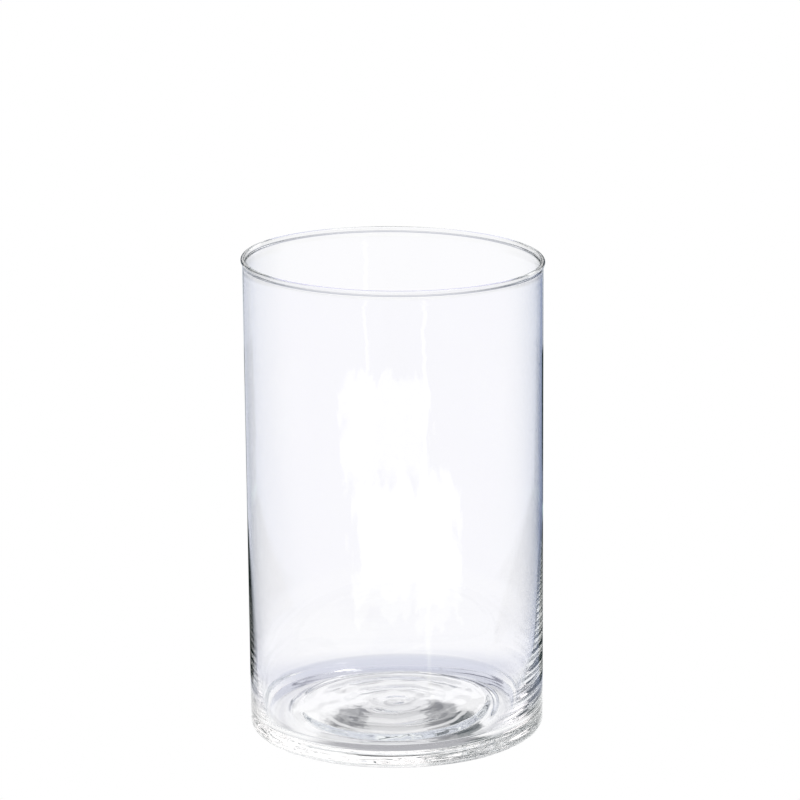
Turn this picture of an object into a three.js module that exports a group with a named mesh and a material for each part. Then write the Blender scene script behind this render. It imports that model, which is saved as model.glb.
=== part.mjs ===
// Clear glass cylinder vase: a thin blown wall with a fire-polished rim bead, a thick
// rounded foot and an open interior. Millimetres, +Z up, the standing ring on z = 0.
// The object is one piece of glass, so it is one mesh: one closed profile turned about Z.
import * as THREE from "three";

// ---- Driving dimensions ---------------------------------------------------------------
const HEIGHT = 240; // standing ring to the top of the rim

const WALL_RADIUS_TOP = 74.0; // outside of the wall, just under the rim bead
const WALL_RADIUS_FOOT = 73.4; // outside of the wall, just above the rounded foot

const WALL_THICKNESS = 1.2; // the wall where it is thinnest, near the rim
const FOOT_THICKENING = 8.0; // extra wall the glass would carry if it ran on down to z = 0
const THICKENING_LENGTH = 27; // height over which that extra wall falls to 1/e

const RIM_BEAD_WIDTH = 2.3; // radial width of the fire-polished bead
const RIM_BEAD_HEIGHT = 2.7; // height of the bead
const RIM_BEAD_OUTER_RADIUS = 74.8; // the bead stands a little proud of the wall

const HEEL_RADIUS = 4.5; // rounding between the wall and the standing ring
const STANDING_RING_INNER_RADIUS = 57; // where the flat ring gives way to the push-up
const PUSH_UP = 4.2; // height of the underside above the table, at the middle

const FLOOR_THICKNESS = 5.8; // inner floor above the table, at its edge
const FLOOR_CROWN = 3.6; // the inner floor is higher by this in the middle, over the push-up
const FLOOR_RADIUS = 53; // where the inner floor starts to curve up
const INNER_HEEL_TOP = 13; // height at which the inner curve has become the wall

// The base is domed, underside and inner floor alike: nearly flat in the middle, with a
// shoulder that falls to the edge.
const DOME_SHOULDER = 47; // radius at which the fall begins
const DOME_MIDDLE = 53; // radius over which the slight rise of the middle is spread
const DOME_MIDDLE_SHARE = 0.26; // share of the whole rise that the middle has

const SEGMENTS = 96; // facets round the vase, a multiple of four
const ARC_STEPS = 7; // facets along each rounded corner
const MIDDLE_STEPS = 3; // facets from the axis to the shoulder of the dome
const SHOULDER_STEPS = 5; // facets from the shoulder to the edge of the dome
const BEAD_STEPS = 16; // facets round the rim bead, so that one edge is its very top
const WALL_STEPS = 9; // facets up the inside of the wall

const GLASS_COLOUR = 0xe6edf1;

// ---- Profile pieces, each a list of [radius, height] going round the section ------------

// Outside of the wall at a height: a very slight taper, narrower at the foot.
function outerRadius(z) {
  return THREE.MathUtils.mapLinear(z, 0, HEIGHT, WALL_RADIUS_FOOT, WALL_RADIUS_TOP);
}

// Thickness of the wall at a height: even near the rim, heavier towards the foot.
function wallThickness(z) {
  return WALL_THICKNESS + FOOT_THICKENING * Math.exp(-z / THICKENING_LENGTH);
}

// Height of the dome at a radius, as a share of its rise: 1 on the axis, 0 at its edge.
function dome(radius, edge) {
  const shoulder = 1 - THREE.MathUtils.smoothstep(radius, DOME_SHOULDER, edge);
  const middle = 1 - THREE.MathUtils.smoothstep(radius, 0, DOME_MIDDLE);
  return (1 - DOME_MIDDLE_SHARE) * shoulder + DOME_MIDDLE_SHARE * middle;
}

// Radii at which the dome is drawn, from the axis to its edge.
function domeRadii(edge) {
  const radii = [];
  for (let i = 0; i < MIDDLE_STEPS; i++) {
    radii.push((DOME_SHOULDER * i) / MIDDLE_STEPS);
  }
  for (let i = 0; i <= SHOULDER_STEPS; i++) {
    radii.push(DOME_SHOULDER + ((edge - DOME_SHOULDER) * i) / SHOULDER_STEPS);
  }
  return radii;
}

// The hollow underside, from the axis out to the standing ring.
function underside() {
  const edge = STANDING_RING_INNER_RADIUS;
  return domeRadii(edge).map((radius) => [radius, PUSH_UP * dome(radius, edge)]);
}

// Quarter round from the standing ring up to the wall.
function outerHeel() {
  const centre = outerRadius(HEEL_RADIUS) - HEEL_RADIUS;
  const points = [];
  for (let i = 0; i <= ARC_STEPS; i++) {
    const angle = (Math.PI / 2) * (i / ARC_STEPS);
    points.push([
      centre + HEEL_RADIUS * Math.sin(angle),
      HEEL_RADIUS * (1 - Math.cos(angle)),
    ]);
  }
  return points;
}

// The rim bead: up the last of the outside wall, round the bead, to the inside of the wall.
function rimBead() {
  const centreRadius = RIM_BEAD_OUTER_RADIUS - RIM_BEAD_WIDTH / 2;
  const centreHeight = HEIGHT - RIM_BEAD_HEIGHT / 2;
  const neck = HEIGHT - 1.5 * RIM_BEAD_HEIGHT; // the wall is plain below this
  const start = -0.3 * Math.PI; // where the bead meets the outside of the wall
  const end = 1.3 * Math.PI; // where the bead meets the inside of the wall
  const points = [[outerRadius(neck), neck]];
  for (let i = 0; i <= BEAD_STEPS; i++) {
    const angle = start + (end - start) * (i / BEAD_STEPS);
    points.push([
      centreRadius + (RIM_BEAD_WIDTH / 2) * Math.cos(angle),
      centreHeight + (RIM_BEAD_HEIGHT / 2) * Math.sin(angle),
    ]);
  }
  return points;
}

// The inside of the wall, down from under the bead to the top of the inner heel. Heights
// crowd towards the foot, where the wall thickens quickly.
function innerWall() {
  const top = HEIGHT - 2 * RIM_BEAD_HEIGHT;
  const points = [];
  for (let i = 0; i <= WALL_STEPS; i++) {
    const u = 1 - i / WALL_STEPS;
    const z = INNER_HEEL_TOP + (top - INNER_HEEL_TOP) * u ** 1.8;
    points.push([outerRadius(z) - wallThickness(z), z]);
  }
  return points;
}

// Quarter of an ellipse from the inside of the wall to the edge of the inner floor.
function innerHeel() {
  const wallRadius = outerRadius(INNER_HEEL_TOP) - wallThickness(INNER_HEEL_TOP);
  const points = [];
  for (let i = 1; i <= ARC_STEPS; i++) {
    const angle = (Math.PI / 2) * (i / ARC_STEPS);
    points.push([
      FLOOR_RADIUS + (wallRadius - FLOOR_RADIUS) * Math.cos(angle),
      INNER_HEEL_TOP - (INNER_HEEL_TOP - FLOOR_THICKNESS) * Math.sin(angle),
    ]);
  }
  return points;
}

// The inner floor, in from the inner heel to the axis, domed like the underside below it.
function innerFloor() {
  const points = domeRadii(FLOOR_RADIUS).map((radius) => [
    radius,
    FLOOR_THICKNESS + FLOOR_CROWN * dome(radius, FLOOR_RADIUS),
  ]);
  return points.reverse().slice(1); // its outermost point closes the inner heel
}

// ---- The vase -----------------------------------------------------------------------------
function makeVase() {
  const profile = [
    ...underside(),
    ...outerHeel(),
    ...rimBead(),
    ...innerWall(),
    ...innerHeel(),
    ...innerFloor(),
  ].map(([radius, height]) => new THREE.Vector2(radius, height));

  const geometry = new THREE.LatheGeometry(profile, SEGMENTS);
  geometry.rotateX(Math.PI / 2); // the lathe turns about Y; the vase stands along Z

  const glass = new THREE.MeshStandardMaterial({
    color: GLASS_COLOUR,
    roughness: 0.03,
    metalness: 0,
  });
  const mesh = new THREE.Mesh(geometry, glass);
  mesh.name = "glass_vase";
  return mesh;
}

const vase = new THREE.Group();
vase.name = "cylinder_vase";
vase.add(makeVase());

export default vase;
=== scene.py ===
"""Blender looks for the clear glass cylinder vase: the fine blown-glass surface, its glass
material, the white studio round it and the camera. Metres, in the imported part's frame."""
import math

import bpy
import numpy as np
from mathutils import Matrix


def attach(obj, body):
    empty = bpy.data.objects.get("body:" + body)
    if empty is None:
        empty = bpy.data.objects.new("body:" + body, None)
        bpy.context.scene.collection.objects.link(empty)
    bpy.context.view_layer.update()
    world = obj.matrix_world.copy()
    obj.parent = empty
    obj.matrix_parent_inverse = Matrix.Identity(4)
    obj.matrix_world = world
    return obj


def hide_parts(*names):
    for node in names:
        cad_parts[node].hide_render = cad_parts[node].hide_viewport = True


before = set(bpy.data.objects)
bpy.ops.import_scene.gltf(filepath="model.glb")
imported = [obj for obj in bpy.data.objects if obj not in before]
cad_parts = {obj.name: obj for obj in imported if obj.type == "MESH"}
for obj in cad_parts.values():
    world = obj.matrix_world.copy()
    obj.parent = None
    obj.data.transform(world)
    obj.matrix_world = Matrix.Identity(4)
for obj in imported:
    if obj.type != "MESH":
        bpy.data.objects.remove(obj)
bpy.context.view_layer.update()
scene = bpy.context.scene

MM = 0.001

# ---- Dimensions of the vase, millimetres ------------------------------------------------
HEIGHT = 240.0  # standing ring to the top of the rim
WALL_RADIUS_TOP = 74.0  # outside of the wall, just under the rim bead
WALL_RADIUS_FOOT = 73.4  # outside of the wall, just above the rounded foot
WALL_THICKNESS = 1.2  # the wall where it is thinnest, near the rim
FOOT_THICKENING = 8.0  # extra wall the glass would carry if it ran on down to z = 0
THICKENING_LENGTH = 27.0  # height over which that extra wall falls to 1/e
BEAD_WIDTH = 2.3  # radial width of the fire-polished rim bead
BEAD_HEIGHT = 2.7
BEAD_OUTER_RADIUS = 74.8  # the bead stands a little proud of the wall
BEAD_START, BEAD_SWEEP = -0.3, 1.6  # its arc, outside to inside, in half turns
RIM_TURNS_INSIDE = (0.2, 0.8)  # shares of the arc over which it turns from outside to inside
HEEL_RADIUS = 4.5  # rounding between the wall and the standing ring
RING_INNER_RADIUS = 57.0  # where the flat ring gives way to the push-up
PUSH_UP = 4.2  # height of the underside above the table, at the middle
FLOOR_THICKNESS = 5.8  # inner floor above the table, at its edge
FLOOR_CROWN = 3.6  # the inner floor is higher by this in the middle
FLOOR_RADIUS = 53.0  # where the inner floor starts to curve up
INNER_HEEL_TOP = 13.0  # height at which the inner curve has become the wall
DOME_SHOULDER = 47.0  # the dome of the base is nearly flat inside this radius
DOME_MIDDLE = 53.0  # the slight rise of the middle is spread over this radius
DOME_MIDDLE_SHARE = 0.26  # share of the whole rise that the middle has

# What blowing and pressing leave uneven. A pair is where it begins and is full, or where it
# starts to fade and is gone.
THICK_SIDE = 0.35  # share by which the glass is heavier on one side and thinner on the other
THICK_SIDE_ANGLE = math.radians(-5)
THICK_SIDE_RADII = (30, 60)
RIM_TILT = math.radians(-0.93)  # the rim is a little out of level
RIM_TILT_FROM = 40  # height from which the wall leans towards it
RING_SPACING = 17.0  # faint pressing rings, on the inner floor and under it
RING_FIRST = 1.25
RING_HEIGHT = 0.20
RINGS_BEGIN, RINGS_END = (2, 9), (50, 56)
UNEVEN_FLOOR = 0.15  # waviness of the inner floor
FLOOR_WAVES = (28, 6)  # its longest and shortest wave
FLOOR_WAVES_BEGIN, FLOOR_WAVES_END = (2, 10), (48, 58)
UNEVEN_WALL = 0.05  # waviness of the inside of the wall
WALL_WAVES = (9, 31)  # the finer and the broader wave round it
WALL_WAVES_BEGIN, WALL_WAVES_END = (14, 40), (215, 232)  # heights
WALL_TWIST_HEIGHT = 80  # height over which the finer wave drifts round the wall

# How finely the surface is drawn: facets round the vase, and rows along the section
SEGMENTS = 256
UNDERSIDE_ROWS, RING_ROWS, HEEL_ROWS, WALL_ROWS = 100, 5, 15, 48
BEAD_ROWS, INNER_WALL_ROWS, INNER_HEEL_ROWS, FLOOR_ROWS = 29, 64, 19, 90

SEED = 9


def outer_radius(z):
    return WALL_RADIUS_FOOT + (WALL_RADIUS_TOP - WALL_RADIUS_FOOT) * z / HEIGHT


def thickening(z):
    return FOOT_THICKENING * np.exp(-z / THICKENING_LENGTH)


def inner_radius(z):
    return outer_radius(z) - WALL_THICKNESS - thickening(z)


def smoothstep(a, b, x):
    t = np.clip((x - a) / (b - a), 0, 1)
    return t * t * (3 - 2 * t)


def zone(x, begin, end):
    """1 between two places, fading in over the pair begin and out over the pair end."""
    return smoothstep(*begin, x) * (1 - smoothstep(*end, x))


def dome(r, edge):
    """Rise of the domed base as a share: 1 on the axis, 0 from the edge outwards."""
    shoulder = 1 - smoothstep(DOME_SHOULDER, edge, r)
    middle = 1 - smoothstep(0, DOME_MIDDLE, r)
    return (1 - DOME_MIDDLE_SHARE) * shoulder + DOME_MIDDLE_SHARE * middle


def rings(r):
    """Shallow concentric ridges, one every RING_SPACING."""
    wave = np.cos(2 * math.pi * (r - RING_FIRST) / RING_SPACING)
    return RING_HEIGHT * wave * zone(r, RINGS_BEGIN, RINGS_END)


def waves(x, y, seed, longest, shortest, count=7):
    """A smooth uneven field between about -1 and 1: a few sine waves in seeded directions."""
    rng = np.random.default_rng(seed)
    total = 0 * x
    for k in range(count):
        length = longest * (shortest / longest) ** (k / (count - 1))
        angle, phase = rng.uniform(0, 2 * math.pi, 2)
        along = x * math.cos(angle) + y * math.sin(angle)
        total = total + np.sin(2 * math.pi * along / length + phase) * length / longest
    return total / 2.0


# ---- The section, going round from the axis under the base to the axis over it -------------
# Each stretch is a pair: radii and heights.
def underside():
    r = np.linspace(0, 1, UNDERSIDE_ROWS) * RING_INNER_RADIUS
    return r, PUSH_UP * dome(r, RING_INNER_RADIUS) + rings(r)


def outer_heel():
    """The flat standing ring and the rounding up to the wall."""
    centre = outer_radius(HEEL_RADIUS) - HEEL_RADIUS
    flat = np.linspace(RING_INNER_RADIUS, centre, RING_ROWS)[1:]
    a = np.linspace(0, math.pi / 2, HEEL_ROWS)[1:]
    r = np.concatenate([flat, centre + HEEL_RADIUS * np.sin(a)])
    return r, np.concatenate([0 * flat, HEEL_RADIUS * (1 - np.cos(a))])


def outer_wall():
    neck = HEIGHT - 1.5 * BEAD_HEIGHT
    z = np.linspace(HEEL_RADIUS, neck, WALL_ROWS)[1:]
    return outer_radius(z), z


def rim_bead():
    a = math.pi * (BEAD_START + BEAD_SWEEP * np.linspace(0, 1, BEAD_ROWS))
    r = BEAD_OUTER_RADIUS - BEAD_WIDTH / 2 + BEAD_WIDTH / 2 * np.cos(a)
    return r, HEIGHT - BEAD_HEIGHT / 2 + BEAD_HEIGHT / 2 * np.sin(a)


def inner_wall():
    """Down from under the bead; the rows crowd towards the foot, where the wall thickens."""
    top = HEIGHT - 2 * BEAD_HEIGHT
    z = INNER_HEEL_TOP + (top - INNER_HEEL_TOP) * np.linspace(1, 0, INNER_WALL_ROWS) ** 1.5
    return inner_radius(z), z


def inner_heel():
    wall = inner_radius(INNER_HEEL_TOP)
    a = np.linspace(0, math.pi / 2, INNER_HEEL_ROWS)[1:]
    r = FLOOR_RADIUS + (wall - FLOOR_RADIUS) * np.cos(a)
    return r, INNER_HEEL_TOP - (INNER_HEEL_TOP - FLOOR_THICKNESS) * np.sin(a)


def inner_floor():
    r = np.linspace(1, 0, FLOOR_ROWS)[1:] * FLOOR_RADIUS
    return r, FLOOR_THICKNESS + FLOOR_CROWN * dome(r, FLOOR_RADIUS) + rings(r)


def section():
    """Rows of radius, height and how far the row belongs to the inner surface, 0 to 1."""
    outside = [underside(), outer_heel(), outer_wall()]
    inside = [inner_wall(), inner_heel(), inner_floor()]
    bead = rim_bead()
    over_rim = smoothstep(*RIM_TURNS_INSIDE, np.linspace(0, 1, BEAD_ROWS))
    inner = np.concatenate([0 * r for r, _ in outside] + [over_rim]
                           + [0 * r + 1 for r, _ in inside])
    r, z = (np.concatenate(part) for part in zip(*outside, bead, *inside))
    return r, z, inner


# ---- The mesh of the vase ------------------------------------------------------------------
def turned(r, z, inner):
    """Points of the section turned round the axis, with the unevenness of the real glass."""
    theta = np.linspace(0, 2 * math.pi, SEGMENTS, endpoint=False)[None, :]
    r = r[:, None] + 0 * theta
    z = z[:, None] + 0 * theta
    inner = inner[:, None]
    heavy = THICK_SIDE * thickening(z) * smoothstep(*THICK_SIDE_RADII, r) * inner
    r = r - heavy * np.cos(theta - THICK_SIDE_ANGLE)
    fine, broad = WALL_WAVES
    around = theta * WALL_RADIUS_TOP
    ripple = np.sin(around / fine + 2 * np.sin(z / WALL_TWIST_HEIGHT)) * np.sin(around / broad + 1)
    r = r + UNEVEN_WALL * inner * zone(z, WALL_WAVES_BEGIN, WALL_WAVES_END) * ripple
    x, y = r * np.cos(theta), r * np.sin(theta)
    on_floor = inner * zone(r, FLOOR_WAVES_BEGIN, FLOOR_WAVES_END)
    z = z + UNEVEN_FLOOR * on_floor * waves(x, y, SEED, *FLOOR_WAVES)
    z = z + x * math.tan(RIM_TILT) * smoothstep(RIM_TILT_FROM, HEIGHT, z)
    return np.stack([x, y, z], -1)


def skin(rows):
    """Faces between the rows of points, closed by a fan to each of the two points on the axis."""
    under, over = rows * SEGMENTS, rows * SEGMENTS + 1
    last = (rows - 1) * SEGMENTS
    faces = []
    for a in range(0, last, SEGMENTS):
        b = a + SEGMENTS
        for j in range(SEGMENTS):
            k = (j + 1) % SEGMENTS
            faces.append((a + j, a + k, b + k, b + j))
    for j in range(SEGMENTS):
        k = (j + 1) % SEGMENTS
        faces.append((under, k, j))
        faces.append((over, last + j, last + k))
    return faces


def vase_mesh():
    r, z, inner = section()
    points = turned(r[1:-1], z[1:-1], inner[1:-1])
    on_axis = [[0, 0, z[0]], [0, 0, z[-1]]]
    verts = np.concatenate([points.reshape(-1, 3), on_axis]) * MM
    mesh = bpy.data.meshes.new("vase")
    mesh.from_pydata(verts.tolist(), [], skin(len(points)))
    mesh.validate()
    mesh.shade_smooth()
    mesh.update()
    return mesh


vase = bpy.data.objects.new("vase", vase_mesh())
scene.collection.objects.link(vase)
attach(vase, "root")
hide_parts("glass_vase")


# ---- Node helpers --------------------------------------------------------------------------
class Tree:
    """Adds nodes to a node tree; a value that is a socket is linked, any other is set."""

    def __init__(self, owner):
        owner.use_nodes = True
        self.tree = owner.node_tree
        self.tree.nodes.clear()

    def node(self, kind, settings=None, **inputs):
        """A node of a kind. An input is given by its name, or as i and its number."""
        n = self.tree.nodes.new("ShaderNode" + kind)
        for k, v in (settings or {}).items():
            setattr(n, k, v)
        for k, v in inputs.items():
            key = int(k[1:]) if k[0] == "i" and k[1:].isdigit() else k.replace("_", " ")
            self.put(n.inputs[key], v)
        return n

    def put(self, socket, v):
        if isinstance(v, bpy.types.NodeSocket):
            self.tree.links.new(v, socket)
        else:
            socket.default_value = v

    def noise(self, vector, scale, detail, roughness):
        """Cloudy noise, about 0.5 on average."""
        return self.node("TexNoise", Vector=vector, Scale=scale, Detail=detail,
                         Roughness=roughness).outputs[0]

    def math(self, op, a, b=0.0, c=0.0, clamp=False):
        return self.node("Math", {"operation": op, "use_clamp": clamp}, i0=a, i1=b, i2=c).outputs[0]

    def add(self, a, b):
        return self.math("ADD", a, b)

    def sub(self, a, b):
        return self.math("SUBTRACT", a, b)

    def times(self, a, b):
        return self.math("MULTIPLY", a, b)

    def more(self, a, b):
        """1 where a is more than b, else 0."""
        return self.math("GREATER_THAN", a, b)

    def either(self, a, b):
        return self.math("MAXIMUM", a, b)

    def spare(self, share, a):
        """What is left of 1 when a share of a is taken away."""
        return self.sub(1.0, self.times(a, share))

    def rise(self, v, lo, hi):
        """0 at lo, 1 at hi, smooth between."""
        n = self.node("MapRange", {"interpolation_type": "SMOOTHSTEP"},
                      Value=v, From_Min=lo, From_Max=hi)
        return n.outputs[0]

    def fall(self, v, lo, hi):
        """1 at lo, 0 at hi, smooth between."""
        return self.sub(1.0, self.rise(v, lo, hi))

    def band(self, v, lo, lo_full, hi_full, hi):
        """1 between lo_full and hi_full, 0 below lo and above hi, smooth between."""
        return self.sub(self.rise(v, lo, lo_full), self.rise(v, hi_full, hi))

    def mix(self, f, a, b):
        """Colour a where f is 0, b where it is 1."""
        return self.node("Mix", {"data_type": "RGBA"}, i0=f, i6=a, i7=b).outputs[2]

    def look_round(self, vector):
        """Measure a place or direction round the vase, and count how the light got there.
        The azimuth is 0 behind the vase and positive to the right."""
        self.x, self.y, self.z = self.node("SeparateXYZ", Vector=vector).outputs
        self.azimuth = self.math("ARCTAN2", self.x, self.y)
        self.turn = self.math("ABSOLUTE", self.azimuth)
        self.paths = self.node("LightPath").outputs
        self.from_camera = self.paths["Is Camera Ray"]
        self.mirrored = self.more(self.paths["Glossy Depth"], 0.5)
        self.deep = self.more(self.paths["Glossy Depth"], 2.5)  # three times, as inside the foot


def rgb(r, g, b):
    return (r, g, b, 1.0)


def deg(*angles):
    return [math.radians(a) for a in angles]


# ---- Glass ---------------------------------------------------------------------------------
REFRACTION = 1.52
TEAL = rgb(0.40, 0.80, 0.72)
TEAL_DENSITY = 0.6  # faint: it shows only where light runs a long way in the glass
STRIAE_STRETCH = (70.0, 70.0, 9.0)  # waves per metre; the glass was drawn out upwards
STRIAE_NOISE = (1.0, 3.0, 0.5)  # scale, detail and roughness of the noise, as below
STRIAE_STRENGTH = 0.12
STRIAE_DEPTH = 0.0004
PRESSED_FOOT = (0.007, 0.016)  # heights; the foot below was pressed smooth
HAZE = 0.02  # roughness of the smudged patches
HAZE_PATCHES = (0.52, 0.75)  # levels of the noise between which a patch comes in
SMUDGE_NOISE = (28.0, 4.0, 0.6)


def glass_material():
    material = bpy.data.materials.new("clear_glass")
    g = Tree(material)
    place = g.node("TexCoord").outputs["Object"]
    stretched = g.node("Mapping", Vector=place, Scale=STRIAE_STRETCH).outputs[0]
    striae = g.noise(stretched, *STRIAE_NOISE)
    height = g.node("SeparateXYZ", Vector=place).outputs[2]
    strength = g.times(g.rise(height, *PRESSED_FOOT), STRIAE_STRENGTH)
    drawn = g.node("Bump", Strength=strength, Distance=STRIAE_DEPTH, Height=striae).outputs[0]
    haze = g.times(g.rise(g.noise(place, *SMUDGE_NOISE), *HAZE_PATCHES), HAZE)
    surface = g.node("BsdfPrincipled", Base_Color=rgb(1, 1, 1), Roughness=haze, IOR=REFRACTION,
                     Transmission_Weight=1.0, Normal=drawn)
    tint = g.node("VolumeAbsorption", Color=TEAL, Density=TEAL_DENSITY)
    g.node("OutputMaterial", Surface=surface.outputs[0], Volume=tint.outputs[0])
    return material


vase.data.materials.append(glass_material())

# ---- Studio: the room ----------------------------------------------------------------------
# The camera itself sees plain white. Light that has passed the glass sees a white table and
# backdrop; light that the glass has mirrored sees the rest of the room as well. Places in
# the room are in degrees. A pair is where something begins and where it is full; four
# numbers are where it begins, is full, starts to fade and ends.
WHITE = rgb(1, 1, 1)
DARK = rgb(0.012, 0.016, 0.016)

BACKDROP = rgb(1.5, 1.5, 1.5)
BACKDROP_ON_FLOOR = rgb(1.1, 1.1, 1.1)  # the same, mirrored by the inner floor
BACKDROP_TWICE = rgb(0.55, 0.57, 0.58)  # the same, mirrored twice
BACKDROP_SLANT = 0.3  # slope of its top edge
BACKDROP_SLANT_WIDTH = 0.1  # radians to either side over which the edge slopes
BACKDROP_EDGE = math.radians(53)
BACKDROP_EDGE_SOFT = 0.06
BACKDROP_TOP = math.radians(21)  # as seen by light that has crossed the vase
BACKDROP_TOP_NEAR = math.radians(45)  # as seen by light that has not
BACKDROP_TOP_SOFT = 0.02
ABOVE_BACKDROP = rgb(0.04, 0.04, 0.045)
ABOVE_AZIMUTH = (-9, -5, 12, 15)
CARD_AZIMUTH, CARD_ELEVATION = (4, 6, 12, 14), (19, 21, 30, 33)  # a dark card before it

LEFT_FLANK = rgb(0.24, 0.27, 0.29)
RIGHT_FLANK = rgb(0.24, 0.27, 0.28)
RIGHT_FLANK_AZIMUTH, RIGHT_FLANK_ELEVATION = (45, 55, 100, 115), (-5, 0, 18, 24)
FLANK_MEET = 0.1  # radians to either side over which the flanks change over
LEFT_PANEL_AZIMUTH, LEFT_PANEL_ELEVATION = (-75, -70, -32, -27), (9, 12, 29, 32)
CEILING = rgb(0.70, 0.72, 0.82)
CEILING_FROM = (32, 50)
PAST_TABLE = rgb(0.71, 0.69, 0.94)  # the room below the horizon, on the camera's side
PAST_TABLE_FROM = (0, 2)
HORIZON_MID = rgb(0.60, 0.61, 0.66)
HORIZON_SIDE = rgb(0.12, 0.14, 0.16)
HORIZON_TURN = (1.5, 8)
HORIZON_ELEVATION = (8, 11, 24, 28)  # as seen through the glass
HORIZON_MIRRORED = (-6, -4, 8, 10)
AHEAD = (60, 90)  # the half of the room behind the vase ends here
LAMP = rgb(4, 4, 4)
LAMP_AT = deg(100, 65)  # azimuth and elevation
LAMP_HALF_WIDTH = (0.18, 0.22)  # radians, full and faded out
LAMP_HALF_HEIGHT = (0.09, 0.12)

GUIDED_LIGHT = rgb(1.5, 1.4, 1.4)  # light that was mirrored many times inside the foot
GUIDED_DARK = rgb(0.03, 0.045, 0.043)
TO_LEFT, TO_LEFT_BELOW = (-125, -110, -13, -9), (30, 33)
TO_RIGHT, TO_RIGHT_BELOW = (85, 92, 150, 158), (15, 18)
HEEL_LIGHT = rgb(0.72, 0.73, 0.80)  # what the heel behind the floor sees, high up
HEEL_LIGHT_FROM = (18, 21)
HEEL_ARC = rgb(0.12, 0.125, 0.16)  # a thin dark line round the heel
HEEL_ARC_ELEVATION = (40, 42, 44, 46)


def about(centre, half):
    """The four numbers of a band round a centre, from its half width, full and faded out."""
    full, faded = half
    return centre - faded, centre - full, centre + full, centre + faded


def field(w, azimuth, elevation):
    """1 inside a patch of the room, soft at its edges."""
    return w.times(w.band(w.azimuth, *deg(*azimuth)), w.band(w.elevation, *deg(*elevation)))


def backdrop(w):
    """The bright sheet behind the vase, with a dark gap above its slanting top edge."""
    top = w.sub(BACKDROP_TOP_NEAR, w.times(w.crossed, BACKDROP_TOP_NEAR - BACKDROP_TOP))
    slope = w.math("MINIMUM", w.either(w.azimuth, -BACKDROP_SLANT_WIDTH), BACKDROP_SLANT_WIDTH)
    top = w.sub(top, w.times(slope, BACKDROP_SLANT))
    over = w.rise(w.elevation, w.sub(top, BACKDROP_TOP_SOFT), w.add(top, BACKDROP_TOP_SOFT))
    above = w.mix(w.band(w.azimuth, *deg(*ABOVE_AZIMUTH)), BACKDROP_ON_FLOOR, ABOVE_BACKDROP)
    light = w.mix(over, w.mix(w.crossed, BACKDROP, BACKDROP_ON_FLOOR), above)
    light = w.mix(w.mirrored_once, BACKDROP_TWICE, light)
    card = field(w, CARD_AZIMUTH, CARD_ELEVATION)
    return w.mix(w.times(card, w.crossed), light, DARK)


def walls(w):
    """The backdrop, the two flanks beside it, a dark panel on the left and the ceiling."""
    flank = w.mix(w.rise(w.azimuth, -FLANK_MEET, FLANK_MEET), LEFT_FLANK, DARK)
    flank = w.mix(field(w, RIGHT_FLANK_AZIMUTH, RIGHT_FLANK_ELEVATION), flank, RIGHT_FLANK)
    past_edge = w.rise(w.turn, BACKDROP_EDGE - BACKDROP_EDGE_SOFT,
                       BACKDROP_EDGE + BACKDROP_EDGE_SOFT)
    light = w.mix(past_edge, backdrop(w), flank)
    light = w.mix(field(w, LEFT_PANEL_AZIMUTH, LEFT_PANEL_ELEVATION), light, DARK)
    return w.mix(w.rise(w.elevation, *deg(*CEILING_FROM)), light, CEILING)


def from_the_foot(w):
    """What light sees that went round inside the thick foot, or the heel behind the floor."""
    to_left = w.times(w.band(w.azimuth, *deg(*TO_LEFT)),
                      w.fall(w.elevation, *deg(*TO_LEFT_BELOW)))
    to_right = w.times(w.band(w.azimuth, *deg(*TO_RIGHT)),
                       w.fall(w.elevation, *deg(*TO_RIGHT_BELOW)))
    guided = w.mix(w.either(to_left, to_right), GUIDED_LIGHT, GUIDED_DARK)
    heel = w.mix(w.rise(w.elevation, *deg(*HEEL_LIGHT_FROM)),
                 w.mix(to_left, WHITE, GUIDED_DARK), HEEL_LIGHT)
    heel = w.mix(w.band(w.elevation, *deg(*HEEL_ARC_ELEVATION)), heel, HEEL_ARC)
    return w.mix(w.crossed, guided, heel)


def mirrored_room(w):
    """The room as the glass mirrors it."""
    light = w.mix(w.deep, walls(w), from_the_foot(w))
    ahead = w.fall(w.turn, *deg(*AHEAD))
    low = w.times(w.band(w.elevation, *deg(*HORIZON_MIRRORED)), ahead)
    light = w.mix(low, light, HORIZON_SIDE)
    past_table = w.times(w.fall(w.elevation, *deg(*PAST_TABLE_FROM)), w.sub(1.0, ahead))
    light = w.mix(past_table, light, PAST_TABLE)
    azimuth, elevation = LAMP_AT
    lamp = w.times(w.band(w.azimuth, *about(azimuth, LAMP_HALF_WIDTH)),
                   w.band(w.elevation, *about(elevation, LAMP_HALF_HEIGHT)))
    return w.mix(lamp, light, LAMP)


def studio():
    world = bpy.data.worlds.new("studio")
    w = Tree(world)
    w.look_round(w.node("TexCoord").outputs["Generated"])
    w.elevation = w.math("ARCSINE", w.z)
    w.mirrored_once = w.math("LESS_THAN", w.paths["Glossy Depth"], 1.5)
    w.crossed = w.more(w.paths["Transmission Depth"], 2.5)  # past a wall, into more glass
    horizon = w.mix(w.rise(w.turn, *deg(*HORIZON_TURN)), HORIZON_MID, HORIZON_SIDE)
    through = w.mix(w.band(w.elevation, *deg(*HORIZON_ELEVATION)), WHITE, horizon)
    seen = w.mix(w.mirrored, through, mirrored_room(w))
    seen = w.mix(w.from_camera, seen, WHITE)
    w.node("OutputWorld", Surface=w.node("Background", Color=seen, Strength=1.0).outputs[0])
    return world


scene.world = studio()

# ---- Studio: the table ---------------------------------------------------------------------
# The camera sees the table plain white; what follows is painted on it for light that has
# passed the glass or been mirrored by it. A painted, mottled shadow lies under the base, and
# painted reflections round it stand for dark flags, lavender walls and a bright sheet, which
# are not there. Lengths are metres, and turns are degrees unless radians are named; pairs and
# fours of numbers are as for the room.
TABLE_SIZE = 12.0
TABLE_HEIGHT = -0.0004  # just clear of the standing ring

# Painted shadow under the base, mottled, with lighter parts and one darker spot
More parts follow.
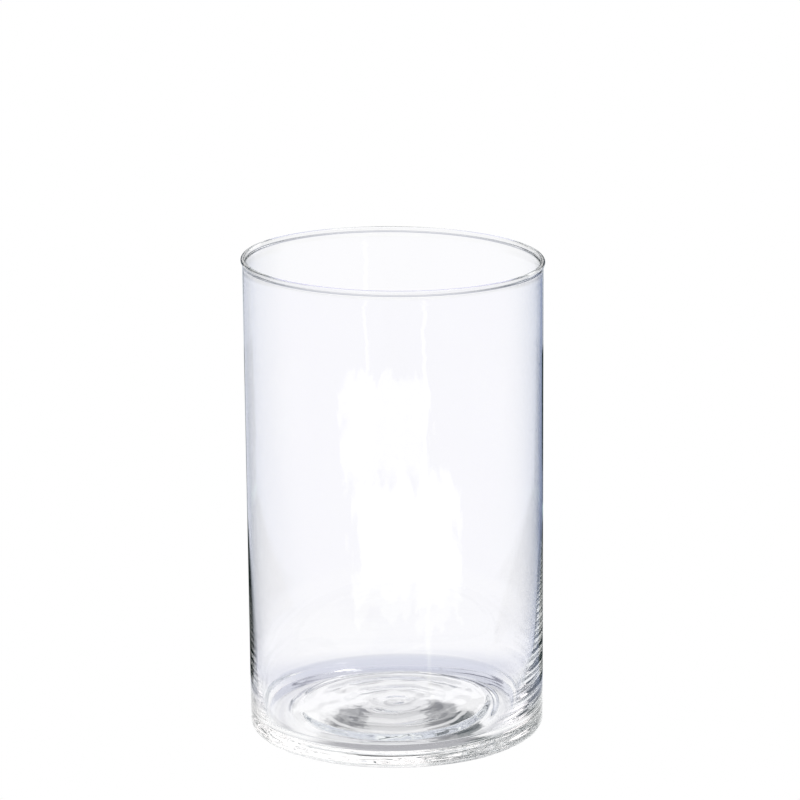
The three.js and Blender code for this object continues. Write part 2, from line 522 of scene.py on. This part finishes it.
SHADE = rgb(0.25, 0.255, 0.26)
SHADE_CENTRE, SHADE_SIZE = (0.003, -0.036), (0.045, 0.054)
SHADE_EDGE = (0.85, 1.00)  # as a share of its size
MOTTLE_NOISE = (110.0, 6.0, 0.7)
SHADE_RAGGED = 0.6  # how far the mottle moves that edge
MOTTLE_RAGGED = 0.06  # how far it moves the lines inside the shade
MOTTLE_CONTRAST, MOTTLE_LIGHTEST = 0.8, 0.6  # the mottle leaves at least the latter share
MIDDLE_X, MIDDLE_Y = (-0.018, -0.014, 0.014, 0.018), (-0.062, -0.054)  # lighter middle
GAP_X, GAP_Y = (-0.020, -0.014), (-0.062, -0.056, -0.030, -0.024)  # lighter gap on the left
LIGHTER = 0.7
INNER_STRIPE, OUTER_STRIPE = (0.033, 0.0345, 0.0365, 0.038), (0.0535, 0.055, 0.0575, 0.059)
STRIPE_LIGHTER = 0.8
SHADE_SPOT = rgb(0.03, 0.05, 0.045)  # darkest spot of the painted shadow, greenish, on the right
SPOT_CENTRE, SPOT_SIZE = (0.037, -0.026), (0.010, 0.026)
SPOT_EDGE = (0.7, 1.2)

# Painted shade on the table under the foot, and bluish painted shadow beside it, behind the vase
SHADE_UNDER_FOOT = rgb(0.80, 0.80, 0.82)
SHADE_UNDER_FOOT_RADII = (0.054, 0.060)
SHADE_BESIDE_FOOT = rgb(0.70, 0.72, 0.80)
SHADE_BESIDE_FOOT_RADII = (0.061, 0.068)
SHADE_BESIDE_FOOT_TURN = (40, 70)
OPEN_TABLE_THROUGH = (0.074, 0.110)  # radii where the table turns white
OPEN_TABLE_MIRRORED = (0.074, 0.095)
CONTACT_SHADOW = rgb(0.42, 0.42, 0.44)  # painted shadow where the foot meets the table, in front
CONTACT_SHADOW_RADII, CONTACT_SHADOW_TURN = (0.035, 0.045, 0.077, 0.080), (135, 155)
GUIDED_REACH, GUIDED_REACH_BEHIND = 0.076, 0.06  # table painted lit through the foot; more behind
GUIDED_BEHIND = (-40, -30, 30, 40)
GUIDED_EDGE = 0.01

# Painted reflections: colours painted on the table, which only light mirrored by the glass sees.
MIRROR_FROM = (0.095, 0.12)  # radii from which painted reflections cover the table
MIRROR_FRONT = rgb(0.71, 0.69, 0.94)
MIRROR_LEFT = rgb(0.80, 0.83, 0.94)
MIRROR_RIGHT = rgb(0.37, 0.43, 0.62)
MIRROR_RIGHT_AZIMUTH = (0, 20, 60, 100)
MIRROR_FRONT_TURN = (50, 110)
MIRROR_BEHIND = rgb(0.58, 0.62, 0.68)
MIRROR_BEHIND_TURN = (17, 25)
FAR_LEFT, FAR_RIGHT = (0.38, 0.66), (0.74, 0.82)  # where it begins on either side
MIRROR_FAR = rgb(0.15, 0.17, 0.19)
MIRROR_FAR_RADII = (1.15, 1.35)
EDGE_DARK = rgb(0.05, 0.06, 0.065)
MINT_GLINT = rgb(0.70, 1.0, 0.86)  # a painted glint at the right edge
MINT_GLINT_RADII = (0.385, 0.395, 0.415, 0.43)

PAINTED_FLAG = rgb(0.014, 0.022, 0.021)  # painted dark flags; their reflection outlines the wall
FLAG_EDGE = math.radians(54)  # half width of the near flag, at FLAG_EDGE_RADIUS
FLAG_EDGE_RADIUS = 0.16
FLAG_TAPER = 2.3  # radians by which it narrows per metre
FLAG_SOFT = (-0.03, 0.10)  # radians about its edge
FLAG_RADII = (0.105, 0.125, 0.36, 0.44)
FAR_FLAG_AZIMUTH, FAR_FLAG_RADII = (-18, -14, 21, 25), (0.49, 0.52, 0.80, 0.84)
FAR_FLAG_CUT = -0.3  # azimuth in radians; the faint end of its left side is cut off here

SHEET_HIGHLIGHT = rgb(1.5, 1.5, 1.5)  # painted highlight: sheet and streak on the camera's side
SHEET_TURN = math.radians(151)
SHEET_TURN_RIGHT = math.radians(17)  # it comes round further on the right
SHEET_SOFT = 0.04  # radians
SHEET_NOISE = (9.0, 5.0, 0.6)
SHEET_RADII = (0.31, 0.32, 0.58, 0.60)
SHEET_RAGGED_TURN, SHEET_RAGGED_RADIUS = 0.9, 0.30  # how far the noise moves its edges
STREAK_AT = math.radians(151)
STREAK_WANDER = 0.22  # radians by which the streak wanders
WANDER_SCALE, WANDER_DETAIL = 7.0, 3.0
STREAK_HALF_WIDTH = (0.8, 1.8)
STREAK_RADII = (0.14, 0.20, 1.3, 1.5)


def off_centre(f, x, y, centre, size):
    """Square of the distance from a centre, 1 on the ellipse of that half size."""
    u = f.math("DIVIDE", f.sub(x, centre[0]), size[0])
    v = f.math("DIVIDE", f.sub(y, centre[1]), size[1])
    return f.add(f.times(u, u), f.times(v, v))


def shade_under_base(f):
    """Painted shadow on the table under the base and close round the foot."""
    mottle = f.noise(f.place, *MOTTLE_NOISE)
    ragged = f.times(f.sub(mottle, 0.5), SHADE_RAGGED)
    out = f.math("SQRT", off_centre(f, f.x, f.y, SHADE_CENTRE, SHADE_SIZE))
    shade = f.fall(f.add(out, ragged), *SHADE_EDGE)
    ragged = f.times(ragged, MOTTLE_RAGGED)
    x, y = f.add(f.x, ragged), f.add(f.y, ragged)
    middle = f.times(f.band(x, *MIDDLE_X), f.rise(y, *MIDDLE_Y))
    gap = f.times(f.fall(x, *GAP_X), f.band(y, *GAP_Y))
    shade = f.times(shade, f.spare(LIGHTER, f.either(middle, gap)))
    stripes = f.either(f.band(f.radius, *INNER_STRIPE), f.band(f.radius, *OUTER_STRIPE))
    shade = f.times(shade, f.spare(STRIPE_LIGHTER, stripes))
    shade = f.times(shade, f.math("MULTIPLY_ADD", mottle, MOTTLE_CONTRAST, MOTTLE_LIGHTEST,
                                  clamp=True))
    light = f.mix(f.rise(f.radius, *SHADE_UNDER_FOOT_RADII), WHITE, SHADE_UNDER_FOOT)
    beside = f.mix(f.rise(f.turn, *deg(*SHADE_BESIDE_FOOT_TURN)), SHADE_BESIDE_FOOT, WHITE)
    light = f.mix(f.rise(f.radius, *SHADE_BESIDE_FOOT_RADII), light, beside)
    spot = f.fall(off_centre(f, x, y, SPOT_CENTRE, SPOT_SIZE), *SPOT_EDGE)
    return f.mix(shade, light, f.mix(spot, SHADE, SHADE_SPOT))


def behind_vase(f, on_right):
    """Painted reflection: what the wall's edges mirror of the table straight behind the vase."""
    left, right = f.rise(f.radius, *FAR_LEFT), f.rise(f.radius, *FAR_RIGHT)
    far = f.add(left, f.times(on_right, f.sub(right, left)))
    light = f.mix(far, EDGE_DARK, MIRROR_BEHIND)
    return f.mix(f.times(on_right, f.band(f.radius, *MINT_GLINT_RADII)), light, MINT_GLINT)


def painted_flags(f):
    """1 on the two painted dark flags: a near one that tapers away, and a far one."""
    edge = f.math("MULTIPLY_ADD", f.radius, -FLAG_TAPER,
                  FLAG_EDGE + FLAG_EDGE_RADIUS * FLAG_TAPER)
    near = f.fall(f.sub(f.turn, edge), *FLAG_SOFT)
    near = f.times(near, f.band(f.radius, *FLAG_RADII))
    far = f.times(f.band(f.azimuth, *deg(*FAR_FLAG_AZIMUTH)), f.band(f.radius, *FAR_FLAG_RADII))
    far = f.times(far, f.more(f.azimuth, FAR_FLAG_CUT))
    return f.either(near, far)


def painted_highlight(f, on_right):
    """1 on the painted highlight: the ragged sheet and the thin streak that wanders beside it."""
    rough = f.sub(f.noise(f.place, *SHEET_NOISE), 0.5)
    turn = f.add(f.turn, f.times(rough, SHEET_RAGGED_TURN))
    radius = f.add(f.radius, f.times(rough, SHEET_RAGGED_RADIUS))
    edge = f.sub(SHEET_TURN, f.times(on_right, SHEET_TURN_RIGHT))
    sheet = f.times(f.rise(turn, edge, f.add(edge, SHEET_SOFT)), f.band(radius, *SHEET_RADII))
    wander = f.node("TexNoise", {"noise_dimensions": "1D"}, W=f.radius, Scale=WANDER_SCALE,
                    Detail=WANDER_DETAIL)
    streak_at = f.add(STREAK_AT, f.times(wander.outputs[0], STREAK_WANDER))
    off_streak = f.math("ABSOLUTE", f.sub(f.azimuth, streak_at))
    streak = f.times(f.fall(off_streak, *deg(*STREAK_HALF_WIDTH)), f.band(f.radius, *STREAK_RADII))
    return f.either(sheet, streak)


def painted_reflections(f):
    """Painted reflections: the table painted with surroundings for the wall to mirror."""
    on_right = f.more(f.azimuth, 0.0)
    beside = f.mix(f.band(f.azimuth, *deg(*MIRROR_RIGHT_AZIMUTH)), MIRROR_LEFT, MIRROR_RIGHT)
    light = f.mix(f.rise(f.turn, *deg(*MIRROR_FRONT_TURN)), beside, MIRROR_FRONT)
    light = f.mix(f.rise(f.turn, *deg(*MIRROR_BEHIND_TURN)), behind_vase(f, on_right), light)
    light = f.mix(painted_flags(f), light, PAINTED_FLAG)
    far = f.times(f.rise(f.radius, *MIRROR_FAR_RADII), f.fall(f.turn, *deg(*AHEAD)))
    light = f.mix(far, light, MIRROR_FAR)
    return f.mix(painted_highlight(f, on_right), light, SHEET_HIGHLIGHT)


def from_foot_to_table(f):
    """Painted light and dark that light sees of the table after going round inside the foot."""
    behind = f.times(f.band(f.azimuth, *deg(*GUIDED_BEHIND)), GUIDED_REACH_BEHIND)
    past = f.rise(f.sub(f.radius, f.add(GUIDED_REACH, behind)), 0.0, GUIDED_EDGE)
    return f.mix(past, WHITE, GUIDED_DARK)


def table_material():
    material = bpy.data.materials.new("floor")
    f = Tree(material)
    f.place = f.node("NewGeometry").outputs["Position"]
    f.look_round(f.place)
    f.radius = f.node("VectorMath", {"operation": "LENGTH"}, i0=f.place).outputs["Value"]
    under = shade_under_base(f)
    through = f.mix(f.rise(f.radius, *OPEN_TABLE_THROUGH), under, WHITE)
    near = f.mix(f.rise(f.radius, *OPEN_TABLE_MIRRORED), under, WHITE)
    contact_shadow = f.times(f.band(f.radius, *CONTACT_SHADOW_RADII), f.rise(f.turn, *deg(*CONTACT_SHADOW_TURN)))
    near = f.mix(contact_shadow, near, CONTACT_SHADOW)
    mirror = f.mix(f.rise(f.radius, *MIRROR_FROM), near, painted_reflections(f))
    mirror = f.mix(f.deep, mirror, from_foot_to_table(f))
    seen = f.mix(f.mirrored, through, mirror)
    seen = f.mix(f.from_camera, seen, WHITE)
    f.node("OutputMaterial", Surface=f.node("Emission", Color=seen, Strength=1.0).outputs[0])
    return material


bpy.ops.mesh.primitive_plane_add(size=TABLE_SIZE, location=(0, 0, TABLE_HEIGHT))
floor = bpy.context.object
floor.name = "floor"
floor.data.materials.append(table_material())

# ---- Camera --------------------------------------------------------------------------------
CAM_ELEVATION = math.radians(15.523)  # as seen from the middle of the vase
CAM_DISTANCE = 2.16
CAM_YAW = math.radians(0.080)
CAM_PITCH = math.radians(14.295)
CAM_ROLL = math.radians(-0.496)
CAM_LENS, CAM_SENSOR = 195.24, 36.0  # millimetres

cam_data = bpy.data.cameras.new("camera")
cam_data.lens = CAM_LENS
cam_data.sensor_width = CAM_SENSOR
cam_data.clip_start, cam_data.clip_end = 0.05, 50
cam = bpy.data.objects.new("camera", cam_data)
scene.collection.objects.link(cam)
cam.location = (0.0, -CAM_DISTANCE * math.cos(CAM_ELEVATION),
                HEIGHT * MM / 2 + CAM_DISTANCE * math.sin(CAM_ELEVATION))
aim = (Matrix.Rotation(-CAM_YAW, 4, "Z") @ Matrix.Rotation(math.pi / 2 - CAM_PITCH, 4, "X")
       @ Matrix.Rotation(CAM_ROLL, 4, "Z"))
cam.rotation_euler = aim.to_euler("XYZ")
scene.camera = cam

scene.view_settings.view_transform = "Standard"
scene.view_settings.look = "None"
BOUNCES = 48  # clear glass: light crosses many surfaces before it leaves the foot
cycles = scene.cycles
cycles.max_bounces = BOUNCES
cycles.transmission_bounces = BOUNCES
cycles.glossy_bounces = BOUNCES
cycles.use_denoising = True
cycles.sample_clamp_indirect = 0.0
